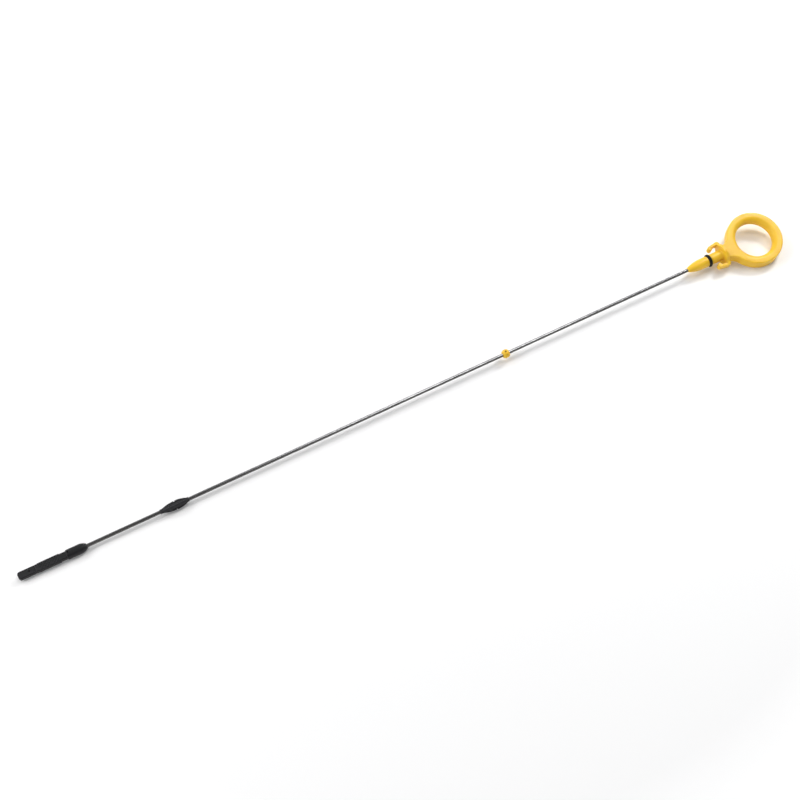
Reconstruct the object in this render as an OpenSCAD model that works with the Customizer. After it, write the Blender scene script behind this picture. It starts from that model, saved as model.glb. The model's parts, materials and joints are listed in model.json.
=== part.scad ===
// Engine oil dipstick: a steel wire with a moulded finger ring, seal and clip at one end
// and a moulded measuring tip at the other. It lies on its head, its flange and its ring's edge.
// Every piece is drawn along the stick: X runs from the tip's end to the ring, Z is the ring's normal.

/* [Stick] */
// Length from the tip's end to the centre of the finger ring
stick_len = 575.2; // [450:0.5:750]
// Diameter of the steel wire
rod_d = 2.5; // [2:0.1:3.2]
// Width of each anchor groove near the wire's moulded-in ends
anchor_w = 1.2; // [0.8:0.1:2]
// Depth of each anchor groove
anchor_depth = 0.25; // [0.1:0.05:0.4]
// Distance from the flange's face to the wire's end inside the plug
rod_short = 5.7; // [4:0.1:7]

/* [Finger ring] */
// Outer diameter of the finger ring
ring_d = 42; // [34:0.5:52]
// Diameter of the finger hole
hole_d = 28; // [20:0.2:30]
// Thickness of the ring along its normal
ring_t = 8.4; // [7:0.1:10]
// Edge radius round the outside of the ring and along the neck
edge_r = 0.8; // [0.5:0.1:2]
// Edge radius inside the finger hole
bore_edge_r = 3.7; // [1.5:0.1:4.1]

/* [Neck] */
// Distance from the back of the flange to the outside of the ring
neck_gap = 5.5; // [3:0.1:10]
// Width of the neck where it leaves the flange
neck_w = 10.4; // [8:0.2:13]
// Radius of the hollow that blends the neck into the ring
neck_blend_r = 12; // [8:0.5:16]

/* [Flange] */
// Diameter of the round flange
flange_d = 15.4; // [14.4:0.2:17]
// Thickness of the flange
flange_t = 2.4; // [1.6:0.1:4]

/* [Claws] */
// Distance between the outer faces of the two claws
claw_span = 20.2; // [19.4:0.2:24]
// Thickness of a claw's arm
claw_t = 2.2; // [1.8:0.1:2.6]
// Width of a claw along the ring's normal
claw_w = 4.8; // [3:0.2:6]
// Reach of a claw from the face of the flange
claw_len = 7.4; // [6.4:0.1:8.6]
// Inward depth of a claw's barb
barb_depth = 1.2; // [0.8:0.1:1.4]
// Length of a claw's barb
barb_len = 2.8; // [2.4:0.1:3.4]
// Slant of the corners at a claw's end and at its ear's back
claw_lead = 0.9; // [0.5:0.1:1.2]
// How far a claw leans in from the flange to its end
claw_lean = 1; // [0:0.1:1.4]
// Slant of the barb's catch face
catch_slant = 0.3; // [0:0.05:0.5]
// Radius of the fillet where a claw's arm leaves the flange
claw_root_r = 0.9; // [0.4:0.1:1.4]

/* [Plug] */
// Diameter of the plug that enters the tube
plug_d = 7.9; // [7.2:0.1:9]
// Length of the plug from the flange to the start of its nose
plug_len = 18; // [16:0.5:24]
// Length of the plug's rounded nose
nose_len = 11.5; // [8:0.5:16]
// Wall of the nose round the wire at its end
nose_wall = 0.35; // [0.2:0.05:0.8]
// Distance from the flange's face to the middle of the seal
seal_from_flange = 11.2; // [10.8:0.1:13.4]
// Radius of the fillet where the plug meets the flange
root_r = 0.9; // [0.4:0.1:1.5]

/* [Seal] */
// Outer diameter of the seal ring
seal_d = 9.6; // [9:0.1:10.4]
// Diameter of the seal ring's cord
seal_cord = 2.4; // [1.6:0.1:2.6]
// Clearance on each side of the seal in its groove
seal_clear = 0.15; // [0.05:0.05:0.4]

/* [Guide bead] */
// Distance from the tip's end to the middle of the bead
bead_at = 363.5; // [200:0.5:450]
// Diameter of the bead
bead_d = 6.4; // [5:0.1:7.4]
// Diameter of the bead at its ends
bead_end_d = 4.4; // [3.4:0.1:4.8]
// Length of the bead
bead_len = 4.8; // [4.2:0.1:8]
// Radius of the notch round the middle of the bead
bead_notch_r = 0.45; // [0.2:0.05:0.6]
// Diameter of the gate's pit in the bead
pit_d = 1.3; // [0.8:0.1:1.6]
// Depth of that pit
pit_depth = 0.9; // [0.4:0.1:1.2]
// Turn of the pit about the stick, from the ring's normal
pit_turn = -11; // [-90:1:90]

/* [Spacer] */
// Distance from the tip's end to the near end of the spacer
spacer_at = 99.4; // [60:0.2:160]
// Length of the spacer
spacer_len = 20.6; // [20:0.2:30]
// Diameter across the spacer's fins
spacer_d = 6.4; // [5.8:0.1:7.4]
// Wall of the spacer's core round the wire
core_wall = 0.7; // [0.5:0.1:1]
// Length left bare of fins at each end of the spacer
bare_end = 0.8; // [0.5:0.1:1.4]
// Thickness of a fin
fin_t = 1.5; // [1:0.1:2]
// How far the fins still rise from the collar to their notches
fin_rise = 0.4; // [0.1:0.1:0.7]
// Length of the fins' rounded taper at the ring's side
fin_taper = 8; // [5:0.1:8.4]
// Distance from the spacer's end, at the tip's side, to its collar
collar_from = 6.6; // [5:0.1:7]
// Width of the spacer's collar
collar_w = 0.6; // [0.4:0.1:1]
// Distance from that end to the notches in its fins
notch_from = 10.6; // [8.6:0.1:11]
// Width of those notches
notch_w = 0.85; // [0.5:0.05:1.2]
// Depth of those notches
notch_depth = 0.6; // [0.3:0.05:0.8]
// Turn of the fins about the stick, from the ring's plane
fin_turn = 24; // [0:1:90]

/* [Measuring tip] */
// Length of the plain end below the hatched bar
paddle_len = 14; // [12.5:0.5:20]
// Corner radius of the tip's blunt end
end_corner_r = 1.9; // [0.5:0.1:2]
// Diameter of the tip's round head
head_d = 6.7; // [6:0.1:7.2]
// Bevel round the head's blunt end
head_bevel = 0.6; // [0.3:0.1:0.8]
// Length of the head's parallel part
head_len = 9.2; // [8:0.1:14]
// Length of the head's rounded nose
head_nose_len = 5; // [4:0.1:8]
// Length of the slim stretch between the head and the hatched bar
slim_len = 4.5; // [4:0.1:8]
// Length of the hatched bar
bar_len = 14.9; // [10:0.1:18]
// Width of the hatched bar
bar_w = 6; // [5:0.1:6.4]
// Thickness of the hatched bar
bar_t = 2.9; // [2.4:0.1:3.4]
// Edge radius along the hatched bar
bar_edge_r = 0.5; // [0.3:0.05:0.8]
// How far the plain ends stand back from the hatched bar on each side
bar_step = 0.2; // [0.1:0.05:0.5]
// Diameter of the two level holes
level_hole_d = 1.3; // [1:0.1:2]
// Distance from the tip's end to the lower level hole
level_hole_at = 8; // [5:0.1:8.5]
// Width of the groove across the tip's end
mark_w = 1.2; // [0.8:0.1:1.6]
// Depth of that groove
mark_depth = 0.45; // [0.2:0.05:0.5]
// Depth of the hatch lines
hatch_depth = 0.25; // [0.1:0.05:0.4]
// Distance between two hatch lines
hatch_pitch = 1.5; // [1.2:0.1:2.4]
// Width of one hatch line
hatch_w = 0.5; // [0.3:0.05:0.7]
// Turn of the tip's flats about the stick, from the ring's plane
tip_turn = -13; // [-45:1:45]

/* [Hidden] */
$fn = 96;
yellow = "#EBB02D";
black = "#2E2E31";
steel = "#A9ABAC";
past = 1;                                        // how far a cutting body runs past what it cuts
skin = 0.1;                                      // least flat left beside a full edge radius
lap = 0.2;                                       // how far two joined forms run into each other
wire_wall = 1;                                   // plastic between the upper level hole and the wire

rod_r = rod_d / 2;
ring_r = ring_d / 2;
plug_r = plug_d / 2;
head_r = head_d / 2;
core_r = rod_r + core_wall;
collar_r = rod_r + nose_wall;                    // radius of a moulding where the wire leaves it
seat_r = rod_r + nose_wall / 2;                  // radius from which the spacer's core and fins rise
hole_edge_r = min(bore_edge_r, ring_t / 2 - skin);

flange_back = stick_len - ring_r - neck_gap;     // stations along the stick, from the tip's end
flange_face = flange_back - flange_t;
nose_base = flange_face - plug_len;
nose_end = nose_base - nose_len;
seal_at = flange_face - seal_from_flange;
bar_start = paddle_len;
bar_end = bar_start + bar_len;
head_start = bar_end + slim_len;
tip_len = head_start + head_len + head_nose_len;
head_rest = head_start + head_bevel;             // where the head touches the floor
upper_hole_at = head_start + level_hole_d;
mark_at = paddle_len - 2 * mark_w;

seal_ring_r = (seal_d - seal_cord) / 2;          // middle of the seal's cord
groove_r = seal_ring_r - seal_cord / 2;          // floor of the seal's groove
groove_w = seal_cord + 2 * seal_clear;

blend_y = neck_w / 2 + neck_blend_r;             // centre of the hollow between neck and ring
blend_x = -sqrt(pow(ring_r + neck_blend_r - lap, 2) - pow(blend_y, 2));
join_scale = (ring_r - edge_r) / (ring_r + neck_blend_r);

rod_start = upper_hole_at + level_hole_d / 2 + wire_wall;
rod_end = flange_face - rod_short;
anchor_pitch = 2.5 * anchor_w;
anchor_count = 2;

// The stick lies on its head and its flange, and is rolled until the ring's near edge meets the floor.
flange_r = flange_d / 2;
pitch = atan((flange_r - head_r) / (flange_face - head_rest));
ring_rest = flange_r + (stick_len - flange_face) * tan(pitch);
roll_y = ring_r - edge_r;
roll_z = ring_t / 2 - edge_r;
roll = asin((ring_rest - edge_r) / norm([roll_y, roll_z])) - atan2(roll_z, roll_y);
whole_len = stick_len + ring_r;

// Lays the stick on the floor with the middle of its footprint at the origin
module lying() {
    translate([-whole_len / 2 * cos(pitch), 0, head_r * cos(pitch) - head_rest * sin(pitch)])
        rotate([0, -pitch, 0]) rotate([roll, 0, 0]) children();
}

// Turns a 2D outline of radius and station into a round body along the stick
module turned(station = 0) {
    translate([station, 0, 0]) rotate([0, 90, 0]) rotate_extrude() children();
}

// Pushes a 2D outline across the stick along it
module along(station, length) {
    translate([station, 0, 0]) rotate([90, 0, 90]) linear_extrude(length) children();
}

module rounded_rect(w, h, r) {
    square([w - 2 * r, h], center = true);
    square([w, h - 2 * r], center = true);
    for (x = [-1, 1], y = [-1, 1])
        translate([x * (w / 2 - r), y * (h / 2 - r)]) circle(r);
}

// Half section of a rounded nose that grows from r0 to r1 and ends parallel to the stick
module ogive(r0, r1, length) {
    bow = (pow(length, 2) + pow(r1 - r0, 2)) / (2 * (r1 - r0));
    intersection() {
        square([r1, length]);
        translate([r1 - bow, length]) circle(bow, $fn = 360);
    }
}

// The wire, with grooves that the mouldings at both ends fill and grip
module wire() {
    length = rod_end - rod_start;
    turned(rod_start) difference() {
        square([rod_r, length]);
        for (i = [1 : anchor_count], from_end = [0, 1]) {
            s = from_end == 1 ? length - i * anchor_pitch : i * anchor_pitch;
            translate([rod_r - anchor_depth, s - anchor_w / 2])
                square([anchor_depth + past, anchor_w]);
        }
    }
}

// Section of the ring: flat outside, deeply rounded inside
module ring_section() {
    band = (ring_d - hole_d) / 2;
    translate([hole_d / 2 + band / 2, 0]) intersection() {
        union() {
            translate([edge_r, 0]) rounded_rect(band + 2 * edge_r, ring_t, hole_edge_r);
            translate([hole_edge_r / 2, 0]) square([band - hole_edge_r, ring_t], center = true);
        }
        translate([-hole_edge_r, 0]) rounded_rect(band + 2 * hole_edge_r, ring_t, edge_r);
    }
}

module finger_ring() {
    translate([stick_len, 0, 0]) rotate_extrude() ring_section();
}

// What the hollow beside the neck takes away: a drum whose rims leave the edges rounded
module neck_hollow() {
    rotate_extrude() {
        translate([0, -ring_t]) square([neck_blend_r, 2 * ring_t]);
        for (side = [0, 1]) mirror([0, side]) difference() {
            translate([neck_blend_r - lap, ring_t / 2 - edge_r])
                square([edge_r + lap, edge_r + past]);
            translate([neck_blend_r + edge_r, ring_t / 2 - edge_r]) circle(edge_r);
        }
    }
}

module neck() {
    inner_r = (hole_d / 2 + hole_edge_r + roll_y) / 2;     // meets the ring within its flat face
    join = [blend_x * join_scale, blend_y * join_scale];
    foot = [flange_back - flange_t / 2 - stick_len, blend_y - neck_blend_r / 2];
    translate([stick_len, 0, 0]) difference() {
        linear_extrude(ring_t, center = true)
            polygon([foot, join, [0, 0], [join.x, -join.y], [foot.x, -foot.y]]);
        cylinder(r = inner_r, h = 2 * ring_t, center = true);
        for (side = [-1, 1]) translate([blend_x, side * blend_y, 0]) neck_hollow();
    }
}

// The round flange that covers the tube's mouth, with an ear on each side for a claw
module flange() {
    reach = claw_span / 2;
    along(flange_face, flange_t) circle(flange_r);
    intersection() {
        along(flange_face, flange_t) polygon([
            [0, claw_w], [reach, claw_w / 2], [reach, -claw_w / 2],
            [0, -claw_w], [-reach, -claw_w / 2], [-reach, claw_w / 2]
        ]);
        translate([flange_face, 0, 0]) linear_extrude(flange_d, center = true) polygon([
            [0, reach], [flange_t - claw_lead, reach], [flange_t, reach - claw_lead],
            [flange_t, claw_lead - reach], [flange_t - claw_lead, -reach], [0, -reach]
        ]);
    }
}

// One claw: an arm that leans in, with a barb that snaps behind the bead of the tube's mouth
module claw() {
    outer = claw_span / 2;
    inner = outer - claw_t;
    catch_u = claw_len - barb_len;
    catch_y = inner - claw_lean * catch_u / claw_len;
    barb_y = inner - claw_lean - barb_depth;
    linear_extrude(claw_w, center = true) translate([flange_face, 0]) mirror([1, 0]) {
        polygon([
            [-flange_t / 2, inner], [0, inner], [catch_u, catch_y], [catch_u + catch_slant, barb_y],
            [claw_len - claw_lead, barb_y], [claw_len, inner - claw_lean],
            [claw_len, outer - claw_lean - claw_lead], [claw_len - claw_lead, outer - claw_lean],
            [0, outer]
        ]);
        difference() {
            translate([0, inner - claw_root_r]) square([claw_root_r, claw_root_r + claw_t / 2]);
            translate([claw_root_r, inner - claw_root_r]) circle(claw_root_r);
        }
    }
}

// The plug that enters the tube: rounded nose, parallel body, groove for the seal
module plug() {
    difference() {
        union() {
            turned(nose_end) ogive(collar_r, plug_r, nose_len);
            turned(nose_base) square([plug_r, plug_len + flange_t / 2]);
            turned(flange_face) difference() {
                translate([0, -root_r]) square([plug_r + root_r, 2 * root_r]);
                translate([plug_r + root_r, -root_r]) circle(root_r);
            }
        }
        turned(seal_at) translate([groove_r, -groove_w / 2]) square([plug_r, groove_w]);
    }
}

module handle() {
    color(yellow) lying() difference() {
        union() {
            finger_ring();
            neck();
            flange();
            plug();
            for (side = [0, 1]) mirror([0, side, 0]) claw();
        }
        wire();
    }
}

module o_ring() {
    color("black") lying() turned(seal_at) translate([seal_ring_r, 0]) circle(seal_cord / 2);
}

module rod() {
    color(steel) lying() wire();
}

// A small barrel with a notch round its middle and the gate's pit, gripping the wire
module guide_bead() {
    bead_r = bead_d / 2;
    end_r = bead_end_d / 2;
    half = bead_len / 2;
    bow = (pow(half, 2) + pow(bead_r - end_r, 2)) / (2 * (bead_r - end_r));
    color(yellow) lying() difference() {
        turned(bead_at) difference() {
            intersection() {
                translate([0, -half]) square([bead_r, bead_len]);
                translate([bead_r - bow, 0]) circle(bow, $fn = 180);
            }
            translate([0, -half - past]) square([rod_r, bead_len + 2 * past]);
            translate([bead_r + bead_notch_r / 2, 0]) circle(bead_notch_r);
        }
        translate([bead_at, 0, 0]) rotate([pit_turn, 0, 0])
            translate([0, 0, bead_r - pit_depth]) cylinder(d = pit_d, h = pit_depth + past);
    }
}

// Half section of the space that the spacer's fins fill: a long lead at the tip's side, which ends
// at the collar, and a rounded taper at the ring's side
module fin_envelope() {
    r = spacer_d / 2;
    end = spacer_len - bare_end;
    polygon([
        [0, bare_end], [seat_r, bare_end], [r - fin_rise, collar_from], [r, notch_from + notch_w / 2],
        [r, end - fin_taper], [0, end - fin_taper]
    ]);
    translate([0, end]) mirror([0, 1]) ogive(seat_r, r, fin_taper);
}

// Four fins round a core, with a thin collar and a row of notches
module spacer() {
    r = spacer_d / 2;
    core_end = spacer_len - bare_end - fin_taper;
    cross = spacer_d + 2 * past;
    color(black) lying() rotate([fin_turn, 0, 0]) difference() {
        union() {
            turned(spacer_at) {
                square([collar_r, spacer_len]);
                polygon([[0, 0], [seat_r, 0], [core_r, collar_from], [core_r, core_end], [0, core_end]]);
                translate([0, collar_from]) square([r - fin_rise - lap, collar_w]);
                translate([0, spacer_len]) mirror([0, 1]) ogive(seat_r, core_r, bare_end + fin_taper);
            }
            intersection() {
                turned(spacer_at) fin_envelope();
                translate([spacer_at, 0, 0]) for (turn = [0, 90]) rotate([turn, 0, 0])
                    translate([0, -cross / 2, -fin_t / 2]) cube([spacer_len, cross, fin_t]);
            }
        }
        turned(spacer_at + notch_from) translate([r - notch_depth, 0]) square([r, notch_w]);
        wire();
    }
}

// Hatch lines across both faces of the bar, kept clear of its ends
module hatching() {
    margin = hatch_pitch / 2;
    step = hatch_pitch * sqrt(2);
    reach = bar_w + bar_len;
    intersection() {
        translate([bar_start + margin, -bar_w, -bar_t]) cube([bar_len - 2 * margin, 2 * bar_w, 2 * bar_t]);
        for (side = [0, 1], slant = [-45, 45]) mirror([0, 0, side])
            for (x = [-bar_w : step : reach])
                translate([bar_start + x, 0, bar_t / 2 + past / 2 - hatch_depth])
                    rotate([0, 0, slant]) cube([hatch_w, 3 * bar_w, past], center = true);
    }
}

// The measuring tip: round head, slim stretch, hatched bar and a plain end, with two level holes
module measuring_tip() {
    plain_w = bar_w - 2 * bar_step;
    plain_t = bar_t - bar_step;
    slim_w = plain_w - 2 * bar_step;
    color(black) lying() rotate([tip_turn, 0, 0]) difference() {
        union() {
            intersection() {
                along(0, bar_start + bar_step) rounded_rect(plain_w, plain_t, bar_edge_r);
                linear_extrude(2 * bar_t, center = true) translate([tip_len / 2, 0])
                    rounded_rect(tip_len, plain_w, end_corner_r);
            }
            along(bar_start, bar_len) rounded_rect(bar_w, bar_t, bar_edge_r);
            along(bar_end - bar_step, slim_len + 2 * bar_step) rounded_rect(slim_w, plain_t, bar_edge_r);
            turned(head_start) {
                translate([0, head_bevel]) square([head_r, head_len - head_bevel]);
                polygon([[0, 0], [head_r - head_bevel / 2, 0], [head_r, head_bevel], [0, head_bevel]]);
            }
            turned(tip_len) mirror([0, 1]) ogive(collar_r, head_r, head_nose_len);
        }
        for (x = [level_hole_at, upper_hole_at])
            translate([x, 0, 0]) cylinder(d = level_hole_d, h = 2 * head_d, center = true);
        for (side = [-1, 1]) translate([mark_at, 0, side * plain_t / 2])
            cube([mark_w, 2 * bar_w, 2 * mark_depth], center = true);
        hatching();
        wire();
    }
}

measuring_tip();
spacer();
guide_bead();
rod();
o_ring();
handle();
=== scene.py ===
import json
import math

import bmesh
import bpy
from mathutils import Matrix, Vector


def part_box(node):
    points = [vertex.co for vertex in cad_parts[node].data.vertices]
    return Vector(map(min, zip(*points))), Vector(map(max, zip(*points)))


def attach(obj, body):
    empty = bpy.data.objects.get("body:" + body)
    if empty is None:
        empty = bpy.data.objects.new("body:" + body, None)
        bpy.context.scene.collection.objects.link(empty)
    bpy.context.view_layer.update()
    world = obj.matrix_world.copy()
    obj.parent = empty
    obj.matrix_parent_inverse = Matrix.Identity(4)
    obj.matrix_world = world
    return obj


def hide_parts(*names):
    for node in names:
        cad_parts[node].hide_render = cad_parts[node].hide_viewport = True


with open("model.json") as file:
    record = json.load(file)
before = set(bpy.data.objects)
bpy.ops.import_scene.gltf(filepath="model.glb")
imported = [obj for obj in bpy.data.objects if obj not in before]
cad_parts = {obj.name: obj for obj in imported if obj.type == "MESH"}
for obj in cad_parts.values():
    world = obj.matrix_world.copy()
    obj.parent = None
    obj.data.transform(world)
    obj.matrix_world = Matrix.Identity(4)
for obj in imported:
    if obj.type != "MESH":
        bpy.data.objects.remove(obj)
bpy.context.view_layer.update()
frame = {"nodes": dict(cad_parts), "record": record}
nodes = frame["nodes"]
scene = bpy.context.scene
mm = 0.001
print("frame loaded:", ", ".join(sorted(nodes)))

# The stick's own frame: X runs along the wire towards the ring, Z is the ring's normal.
mounts = {m["name"]: m for m in frame["record"]["mounts"]}
stickX = -Vector(mounts["plug_nose"]["axis"]).normalized()
stickPoint = Vector(mounts["plug_nose"]["pos_m"])
toFace = Vector(mounts["tube_stop"]["pos_m"]) - stickPoint
stickZ = (toFace - stickX * toFace.dot(stickX)).normalized()
stickY = stickZ.cross(stickX)
tipEnd = stickPoint + stickX * ((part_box("measuring_tip")[0].x - stickPoint.x) / stickX.x)
fromStick = Matrix.Translation(tipEnd) @ Matrix((stickX, stickY, stickZ)).transposed().to_4x4()
toStick = fromStick.inverted()


def newGroup(name, inputs, outputs):
    group = bpy.data.node_groups.new(name, "ShaderNodeTree")
    for label, kind, value in inputs:
        socket = group.interface.new_socket(label, in_out="INPUT", socket_type="NodeSocket" + kind)
        if value is not None:
            socket.default_value = value
    for label, kind in outputs:
        group.interface.new_socket(label, in_out="OUTPUT", socket_type="NodeSocket" + kind)
    return group, group.nodes.new("NodeGroupInput"), group.nodes.new("NodeGroupOutput")


def addNode(tree, kind, values=None, **settings):
    node = tree.nodes.new("ShaderNode" + kind)
    for key, value in settings.items():
        setattr(node, key, value)
    for socket, value in (values or {}).items():
        node.inputs[socket].default_value = value
    return node


def addMath(tree, operation, a, b=None, clamp=False):
    node = addNode(tree, "Math", operation=operation, use_clamp=clamp)
    for i, value in enumerate((a, b)):
        if value is None:
            continue
        if isinstance(value, (int, float)):
            node.inputs[i].default_value = value
        else:
            tree.links.new(value, node.inputs[i])
    return node.outputs[0]


def addRange(tree, value, low, high, toLow=0.0, toHigh=1.0):
    node = addNode(tree, "MapRange", {"From Min": low, "From Max": high, "To Min": toLow, "To Max": toHigh})
    tree.links.new(value, node.inputs["Value"])
    return node.outputs["Result"]


def addMix(tree, factor, a, b):
    node = addNode(tree, "Mix", data_type="RGBA")
    for socket, value in ((node.inputs[0], factor), (node.inputs[6], a), (node.inputs[7], b)):
        if isinstance(value, (int, float, tuple)):
            socket.default_value = value
        else:
            tree.links.new(value, socket)
    return node.outputs[2]


def addDot(tree, vector, direction):
    node = addNode(tree, "VectorMath", {1: direction}, operation="DOT_PRODUCT")
    tree.links.new(vector, node.inputs[0])
    return node.outputs["Value"]


def objectPlace(tree):
    return addNode(tree, "TexCoord").outputs["Object"]


def acrossStick(degrees):  # the ring's normal, turned about the stick
    turn = math.radians(degrees)
    return stickZ * math.cos(turn) - stickY * math.sin(turn)


def makeMouldGrain():  # fine skin of a moulded surface, with slow changes of gloss
    group, inside, outside = newGroup(
        "mouldGrain",
        [("Grain Scale", "Float", 2500.0), ("Patch Scale", "Float", 120.0)],
        [("Height", "Float"), ("Patch", "Float"), ("Speck", "Float")])
    place = objectPlace(group)
    grain = addNode(group, "TexNoise", {"Detail": 3.0, "Roughness": 0.6})
    patch = addNode(group, "TexNoise", {"Detail": 4.0, "Roughness": 0.55, "Distortion": 0.4})
    speck = addNode(group, "TexVoronoi", {"Randomness": 1.0})
    for texture, scale in ((grain, "Grain Scale"), (patch, "Patch Scale")):
        group.links.new(place, texture.inputs["Vector"])
        group.links.new(inside.outputs[scale], texture.inputs["Scale"])
    group.links.new(place, speck.inputs["Vector"])
    group.links.new(addMath(group, "MULTIPLY", inside.outputs["Grain Scale"], 0.35), speck.inputs["Scale"])
    group.links.new(grain.outputs["Fac"], outside.inputs["Height"])
    group.links.new(addRange(group, patch.outputs["Fac"], 0.3, 0.7), outside.inputs["Patch"])
    group.links.new(addRange(group, speck.outputs["Distance"], 0.12, 0.04), outside.inputs["Speck"])
    return group


def makeWearDustAndShade():  # light worn edges, and inner corners tinted from the form itself: on the yellow mouldings the darker, redder corner tint is painted shade, on the black ones it is lighter dust
    group, inside, outside = newGroup(
        "wearDustAndShade",
        [("Break Up", "Float", 900.0)],
        [("Edge", "Float"), ("Corner", "Float")])
    form = addNode(group, "NewGeometry").outputs["Pointiness"]
    noise = addNode(group, "TexNoise", {"Detail": 3.0})
    group.links.new(objectPlace(group), noise.inputs["Vector"])
    group.links.new(inside.outputs["Break Up"], noise.inputs["Scale"])
    broken = addRange(group, noise.outputs["Fac"], 0.35, 0.65)
    edge = addRange(group, form, 0.52, 0.58)
    corner = addRange(group, form, 0.48, 0.42)
    group.links.new(addMath(group, "MULTIPLY", edge, broken), outside.inputs["Edge"])
    group.links.new(addMath(group, "MULTIPLY", corner, broken), outside.inputs["Corner"])
    return group


def makeScuffs():  # short fine scratches that run mostly along the stick
    group, inside, outside = newGroup(
        "scuffs",
        [("Scale", "Float", 300.0), ("Stretch", "Float", 0.12), ("Amount", "Float", 0.5)],
        [("Mask", "Float")])
    place = objectPlace(group)
    stretch = addNode(group, "CombineXYZ", {"Y": 1.0, "Z": 1.0})
    group.links.new(inside.outputs["Stretch"], stretch.inputs["X"])
    long = addNode(group, "VectorMath", operation="MULTIPLY")
    group.links.new(place, long.inputs[0])
    group.links.new(stretch.outputs[0], long.inputs[1])
    lines = addNode(group, "TexNoise", {"Detail": 5.0, "Roughness": 0.7, "Distortion": 0.3})
    group.links.new(long.outputs[0], lines.inputs["Vector"])
    group.links.new(inside.outputs["Scale"], lines.inputs["Scale"])
    where = addNode(group, "TexNoise", {"Scale": 90.0, "Detail": 2.0})
    group.links.new(place, where.inputs["Vector"])
    mask = addMath(group, "MULTIPLY", addRange(group, lines.outputs["Fac"], 0.6, 0.72),
                   addRange(group, where.outputs["Fac"], 0.45, 0.62))
    group.links.new(addMath(group, "MULTIPLY", mask, inside.outputs["Amount"]), outside.inputs["Mask"])
    return group


def makePartLine():  # the thin seam that the two halves of a mould leave
    group, inside, outside = newGroup(
        "partLine",
        [("Normal", "Vector", None), ("Offset", "Float", 0.0), ("Half Width", "Float", 0.07 * mm)],
        [("Mask", "Float")])
    along = addNode(group, "VectorMath", operation="DOT_PRODUCT")
    group.links.new(objectPlace(group), along.inputs[0])
    group.links.new(inside.outputs["Normal"], along.inputs[1])
    offset = addMath(group, "SUBTRACT", along.outputs["Value"], inside.outputs["Offset"])
    away = addMath(group, "DIVIDE", addMath(group, "ABSOLUTE", offset), inside.outputs["Half Width"])
    group.links.new(addRange(group, away, 1.0, 0.3), outside.inputs["Mask"])
    return group


mouldGrain, wearDustAndShade, scuffs, partLine = makeMouldGrain(), makeWearDustAndShade(), makeScuffs(), makePartLine()


def placeGroup(tree, group, values=None):
    node = tree.nodes.new("ShaderNodeGroup")
    node.node_tree = group
    for socket, value in (values or {}).items():
        node.inputs[socket].default_value = value
    return node


def placeSkin(tree, look):
    scales = {"Grain Scale": look["grainScale"], "Patch Scale": look["patchScale"]}
    return placeGroup(tree, mouldGrain, scales)


def addTint(tree, colour, mask, amount, tone):
    return addMix(tree, addMath(tree, "MULTIPLY", mask, amount), colour, tone)


def newMaterial(name, shine):
    material = bpy.data.materials.new(name)
    material.use_nodes = True
    tree = material.node_tree
    shader = tree.nodes["Principled BSDF"]
    for socket, value in shine.items():
        shader.inputs[socket].default_value = value
    return material, tree, shader


def addBump(tree, shader, height, depth, strength=1.0):
    bump = addNode(tree, "Bump", {"Strength": strength, "Distance": depth})
    tree.links.new(height, bump.inputs["Height"])
    tree.links.new(bump.outputs["Normal"], shader.inputs["Normal"])


def addRoughness(tree, shader, skin, mask, dull, span):  # patchy gloss, duller where it is rubbed
    patchy = addRange(tree, skin.outputs["Patch"], 0.0, 1.0, *span)
    rubbed = addMath(tree, "MULTIPLY", mask, dull)
    tree.links.new(addMath(tree, "ADD", patchy, rubbed, clamp=True), shader.inputs["Roughness"])


def dirtyPit(tree, pit):  # painted shade: a near-black colour laid in a small pit, where shade falls
    centre = pit["centre"] + acrossStick(pit["turn"]) * pit["out"]
    away = addNode(tree, "VectorMath", {1: centre}, operation="DISTANCE")
    tree.links.new(objectPlace(tree), away.inputs[0])
    return addRange(tree, away.outputs["Value"], *pit["edge"])


def mouldedPlastic(name, look):
    material, tree, shader = newMaterial(name, look["shine"])
    skin = placeSkin(tree, look)
    wearDustShadeMasks = placeGroup(tree, wearDustAndShade)
    rub = placeGroup(tree, scuffs, {"Scale": look["scuffScale"], "Amount": look["scuffs"]})
    colour = addMix(tree, skin.outputs["Patch"], look["deep"], look["pale"])
    colour = addTint(tree, colour, wearDustShadeMasks.outputs["Edge"], look["edge"], look["worn"])
    # painted shade on the yellow parts: the corner tint darkens and reddens inner corners; on the black parts
    # the same tint is lighter dust
    colour = addTint(tree, colour, wearDustShadeMasks.outputs["Corner"], look["corner"], look["dustAndShade"])
    colour = addTint(tree, colour, rub.outputs["Mask"], look["edge"], look["worn"])
    if "pit" in look:
        # painted shade laid in the bead's pit
        colour = addMix(tree, dirtyPit(tree, look["pit"]), colour, look["pit"]["dirt"])
    tree.links.new(colour, shader.inputs["Base Color"])
    addRoughness(tree, shader, skin, rub.outputs["Mask"], look["scuffDull"], look["roughness"])
    dent = addMath(tree, "MULTIPLY", rub.outputs["Mask"], look["scuffDepth"])
    height = addMath(tree, "SUBTRACT", skin.outputs["Height"], dent)
    seamNormal = acrossStick(look["seamTurn"])
    seam = placeGroup(tree, partLine, {"Normal": seamNormal, "Offset": seamNormal.dot(stickPoint)})
    height = addMath(tree, "ADD", height, addMath(tree, "MULTIPLY", seam.outputs["Mask"], look["seam"]))
    addBump(tree, shader, height, look["depth"])
    return material


weld = 0.0005 * mm


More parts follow.
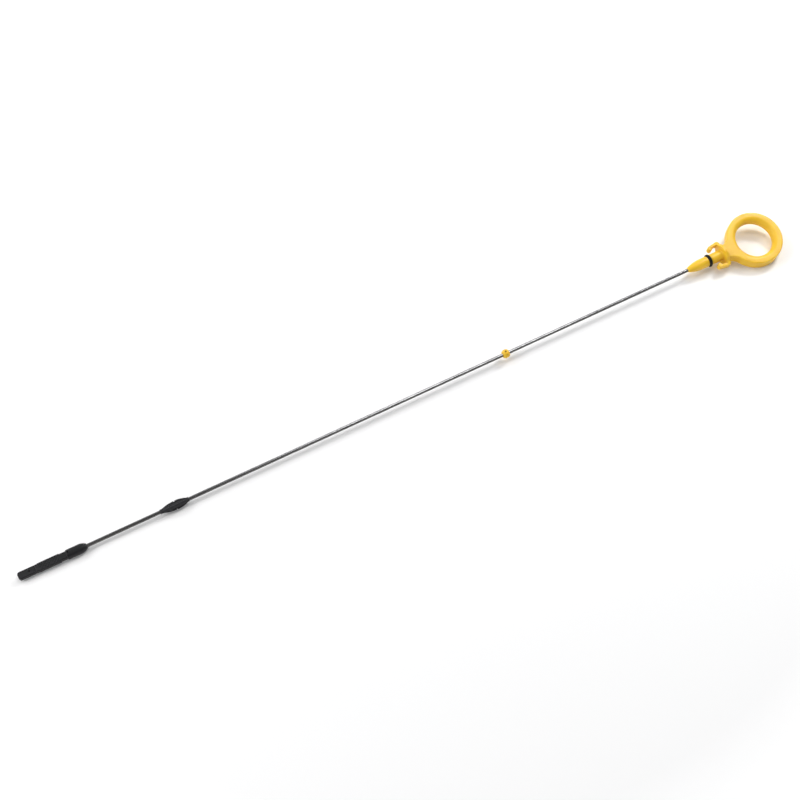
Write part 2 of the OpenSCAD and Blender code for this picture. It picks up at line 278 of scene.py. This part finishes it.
def softCopy(nodeName, look):  # an even mesh of the solid with its sharp edges softened
    mesh = nodes[nodeName].data.copy()
    mesh.transform(toStick)
    shape = bmesh.new()
    shape.from_mesh(mesh)
    bmesh.ops.remove_doubles(shape, verts=shape.verts, dist=weld)
    shape.to_mesh(mesh)
    shape.free()
    rough = bpy.data.objects.new(look["name"] + "Rough", mesh)
    scene.collection.objects.link(rough)
    even = rough.modifiers.new("even", "REMESH")
    even.mode = "VOXEL"
    even.voxel_size = look["voxel"]
    soften = rough.modifiers.new("soften", "SMOOTH")
    soften.factor = 0.5
    soften.iterations = look["softSteps"]
    graph = bpy.context.evaluated_depsgraph_get()
    final = bpy.data.meshes.new_from_object(rough.evaluated_get(graph))
    bpy.data.objects.remove(rough)
    final.transform(fromStick)
    final.shade_smooth()
    piece = bpy.data.objects.new(look["name"], final)
    scene.collection.objects.link(piece)
    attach(piece, "root")
    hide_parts(nodeName)
    print(look["name"], "faces:", len(final.polygons))
    return piece


def setMaterial(piece, material):
    piece.data.materials.clear()
    piece.data.materials.append(material)


handleLook = {
    "name": "fingerHandle",
    "slot": "handle_yellow",
    "voxel": 0.255 * mm,
    "softSteps": 3,
    "shine": {
        "IOR": 1.5, "Specular IOR Level": 0.45,
        "Coat Weight": 0.08, "Coat Roughness": 0.25,
        "Subsurface Weight": 0.12, "Subsurface Radius": (1.0, 0.42, 0.08), "Subsurface Scale": 1.2 * mm,
    },
    "deep": (0.8, 0.47, 0.014, 1.0),
    "pale": (0.86, 0.54, 0.024, 1.0),
    "worn": (0.9, 0.66, 0.14, 1.0),
    # darker, redder corner tint: painted shade in the handle's inner corners
    "dustAndShade": (0.5, 0.22, 0.012, 1.0),
    "edge": 0.3,
    "corner": 0.5,
    "roughness": (0.36, 0.46),
    "grainScale": 2600.0,
    "patchScale": 90.0,
    "scuffScale": 420.0,
    "scuffs": 0.3,
    "scuffDull": 0.25,
    "scuffDepth": 0.6,
    "depth": 0.012 * mm,
    "seam": 3.0,
    "seamTurn": 0.0,
}
handle = softCopy("handle", handleLook)
setMaterial(handle, mouldedPlastic("handleYellow", handleLook))

beadLow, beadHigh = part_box("guide_bead")
beadLook = {
    **handleLook,
    "name": "guideBead",
    "slot": "bead_yellow",
    "voxel": 0.08 * mm,
    "softSteps": 4,
    "patchScale": 300.0,
    "scuffScale": 800.0,
    "pit": {  # the mark of the mould's gate
        "centre": (beadLow + beadHigh) / 2,
        "turn": -11.0,
        "out": 2.7 * mm,
        "edge": (0.86 * mm, 0.53 * mm),
        # painted shade colour for the pit
        "dirt": (0.03, 0.018, 0.006, 1.0),
    },
}
bead = softCopy("guide_bead", beadLook)
setMaterial(bead, mouldedPlastic("beadYellow", beadLook))

tipLook = {
    "name": "measuringTip",
    "slot": "tip_black",
    "voxel": 0.13 * mm,
    "softSteps": 3,
    "shine": {"IOR": 1.48, "Specular IOR Level": 0.28},
    "deep": (0.006, 0.006, 0.0072, 1.0),
    "pale": (0.011, 0.011, 0.0125, 1.0),
    "worn": (0.07, 0.07, 0.075, 1.0),
    "dustAndShade": (0.03, 0.029, 0.028, 1.0),
    "edge": 0.45,
    "corner": 0.3,
    "roughness": (0.36, 0.5),
    "grainScale": 3200.0,
    "patchScale": 160.0,
    "scuffScale": 500.0,
    "scuffs": 0.5,
    "scuffDull": 0.25,
    "scuffDepth": 0.6,
    "depth": 0.02 * mm,
    "seam": 2.0,
    "seamTurn": -13.0,
}
tip = softCopy("measuring_tip", tipLook)
setMaterial(tip, mouldedPlastic("tipBlack", tipLook))

spacerLook = {
    **tipLook,
    "name": "finnedSpacer",
    "slot": "spacer_black",
    "deep": (0.016, 0.016, 0.018, 1.0),
    "pale": (0.026, 0.026, 0.029, 1.0),
    "voxel": 0.11 * mm,
    "roughness": (0.34, 0.48),
    "patchScale": 240.0,
    "seamTurn": 24.0,
}
spacer = softCopy("spacer", spacerLook)
setMaterial(spacer, mouldedPlastic("spacerBlack", spacerLook))
print("mouldings done")

sealLook = {
    "shine": {"IOR": 1.45, "Specular IOR Level": 0.25},
    "deep": (0.004, 0.0035, 0.0035, 1.0),
    "pale": (0.009, 0.008, 0.008, 1.0),
    "bloom": (0.03, 0.028, 0.028, 1.0),
    "specks": 0.5,
    "roughness": (0.45, 0.62),
    "grainScale": 4200.0,
    "patchScale": 500.0,
    "depth": 0.01 * mm,
}


def sealRubber(look):
    material, tree, shader = newMaterial("sealRubber", look["shine"])
    skin = placeSkin(tree, look)
    colour = addMix(tree, skin.outputs["Patch"], look["deep"], look["pale"])
    colour = addTint(tree, colour, skin.outputs["Speck"], look["specks"], look["bloom"])
    tree.links.new(colour, shader.inputs["Base Color"])
    rough = addRange(tree, skin.outputs["Patch"], 0.0, 1.0, *look["roughness"])
    tree.links.new(rough, shader.inputs["Roughness"])
    addBump(tree, shader, skin.outputs["Height"], look["depth"])
    return material


setMaterial(nodes["o_ring"], sealRubber(sealLook))

wireLook = {
    "shine": {"Metallic": 1.0, "Anisotropic": 0.35},
    "dark": (0.36, 0.36, 0.365, 1.0),
    "light": (0.54, 0.54, 0.545, 1.0),
    "stain": (0.3, 0.27, 0.24, 1.0),
    "specks": 0.15,
    "grainScale": 1800.0,
    "patchScale": 60.0,
    # painted shade colour for the wire
    "oil": (0.085, 0.08, 0.077, 1.0),
    "oilSide": (0.0, -0.88, -0.47),  # painted shade on the wire's lower front side, which faces the floor and the camera
    "oilSpread": (0.22, 0.62),
    "oilReach": (190 * mm, 110 * mm),  # how far from the tip's end the wire is painted darker, as painted shade
    "oilDepth": 0.66,
    "roughness": (0.16, 0.26),
    "lineScale": 2200.0,
    "lineStretch": 0.01,
    "lineDull": 0.2,
    "depth": 0.004 * mm,
}


def drawnSteel(look):
    material, tree, shader = newMaterial("drawnSteel", look["shine"])
    drawn = {"Scale": look["lineScale"], "Stretch": look["lineStretch"], "Amount": 1.0}
    lines = placeGroup(tree, scuffs, drawn)
    skin = placeSkin(tree, look)
    colour = addMix(tree, skin.outputs["Patch"], look["light"], look["dark"])
    colour = addTint(tree, colour, skin.outputs["Speck"], look["specks"], look["stain"])
    # painted shade: the wire's lower front side is painted darker
    side = addDot(tree, addNode(tree, "NewGeometry").outputs["Normal"], look["oilSide"])
    sideShade = addRange(tree, side, *look["oilSpread"])
    # painted shade: the wire is painted darker towards the tip's end
    station = addMath(tree, "SUBTRACT", addDot(tree, objectPlace(tree), stickX), tipEnd.dot(stickX))
    tipShade = addMath(tree, "MULTIPLY", addRange(tree, station, *look["oilReach"]), look["oilDepth"])
    colour = addMix(tree, addMath(tree, "MAXIMUM", sideShade, tipShade), colour, look["oil"])
    tree.links.new(colour, shader.inputs["Base Color"])
    addRoughness(tree, shader, skin, lines.outputs["Mask"], look["lineDull"], look["roughness"])
    addBump(tree, shader, lines.outputs["Mask"], look["depth"])
    return material


setMaterial(nodes["rod"], drawnSteel(wireLook))
print("steel and rubber done")

# The camera's place was fitted to the ring's ellipses and the stick's line.
cameraLook = {
    "target": (-16.6 * mm, 4.5 * mm, 0.0),
    "elevation": 58.66,
    "turn": 27.95,
    "distance": 1006 * mm,
    "lens": 65.0,
    "sensor": 36.0,
}


def makeCamera(look):
    camera = bpy.data.objects.new("camera", bpy.data.cameras.new("camera"))
    scene.collection.objects.link(camera)
    up, turn = math.radians(look["elevation"]), math.radians(look["turn"])
    back = Vector((-math.sin(turn) * math.cos(up), -math.cos(turn) * math.cos(up), math.sin(up)))
    camera.location = Vector(look["target"]) + back * look["distance"]
    camera.rotation_euler = (math.pi / 2 - up, 0.0, -turn)
    camera.data.lens = look["lens"]
    camera.data.sensor_width = look["sensor"]
    camera.data.clip_start = 0.01
    scene.camera = camera


makeCamera(cameraLook)

studio = {
    "floorSize": 14.0,
    "floorColour": (0.93, 0.93, 0.93, 1.0),
    "floorRoughness": 0.9,
    "floorSpecular": 0.1,
    "glowFrom": 0.3,
    "glowTo": 0.75,
    "glowLeast": 0.035,
    "roomBright": (0.5, 0.5, 0.5, 1.0),
    "roomDark": (0.08, 0.08, 0.085, 1.0),
    "roomFrom": (-0.35, 0.9, 0.25),
    "roomSpread": (-0.1, 0.75),
    "horizonBand": (0.24, 0.14),
    "horizon": (1.0, 1.0, 1.0, 1.0),
    "lamps": {  # power in W, size in m, place in m
        "above": (6.0, 0.6, (0.55, 0.15, 1.8)),
        "backRight": (3.3, 0.2, (0.69, 0.25, 0.615)),
        "backLeft": (6.2, 0.4, (-0.8, 1.1, 1.3)),
        "frontLeft": (4.9, 0.8, (-0.78, -0.82, 1.53)),
        "left": (6.4, 0.5, (-1.15, 0.25, 0.85)),
        "right": (2.0, 0.7, (1.55, -0.25, 1.1)),
        "back": (1.2, 0.3, (0.34, 1.62, 0.86)),
    },
}


def areaLight(name, power, size, place):
    lamp = bpy.data.objects.new(name, bpy.data.lights.new(name, "AREA"))
    lamp.data.energy = power
    lamp.data.size = size
    lamp.location = place
    lamp.rotation_euler = (-Vector(place)).to_track_quat("-Z", "Y").to_euler()
    scene.collection.objects.link(lamp)


def makeRoom(look):  # a dim room above a white horizon
    world = bpy.data.worlds.new("softRoom")
    world.use_nodes = True
    tree = world.node_tree
    outward = addNode(tree, "TexCoord").outputs["Generated"]
    shade = addRange(tree, addDot(tree, outward, look["roomFrom"]), *look["roomSpread"])
    height = addNode(tree, "SeparateXYZ")
    tree.links.new(outward, height.inputs[0])
    low = addRange(tree, height.outputs["Z"], *look["horizonBand"])
    room = addMix(tree, shade, look["roomDark"], look["roomBright"])
    tree.links.new(addMix(tree, low, room, look["horizon"]), tree.nodes["Background"].inputs["Color"])
    scene.world = world


def addGlow(tree, shader, look):  # the sweep of white ground lights up away from the part
    away = addNode(tree, "VectorMath", operation="LENGTH")
    tree.links.new(objectPlace(tree), away.inputs[0])
    glow = addRange(tree, away.outputs["Value"], look["glowFrom"], look["glowTo"], look["glowLeast"], 1.0)
    shader.inputs["Emission Strength"].default_value = 1.0
    tree.links.new(addMix(tree, glow, (0.0, 0.0, 0.0, 1.0), look["horizon"]), shader.inputs["Emission Color"])


def makeStudio(look):
    half = look["floorSize"] / 2
    mesh = bpy.data.meshes.new("floor")
    corners = [(-half, -half, 0), (half, -half, 0), (half, half, 0), (-half, half, 0)]
    mesh.from_pydata(corners, [], [(0, 1, 2, 3)])
    floor = bpy.data.objects.new("floor", mesh)
    scene.collection.objects.link(floor)
    material, tree, shader = newMaterial("paleFloor", {
        "Base Color": look["floorColour"], "Roughness": look["floorRoughness"],
        "Specular IOR Level": look["floorSpecular"]})
    addGlow(tree, shader, look)
    setMaterial(floor, material)
    makeRoom(look)
    for name, (power, size, place) in look["lamps"].items():
        areaLight(name, power, size, place)
    scene.view_settings.view_transform = "Standard"


makeStudio(studio)
print("studio done")
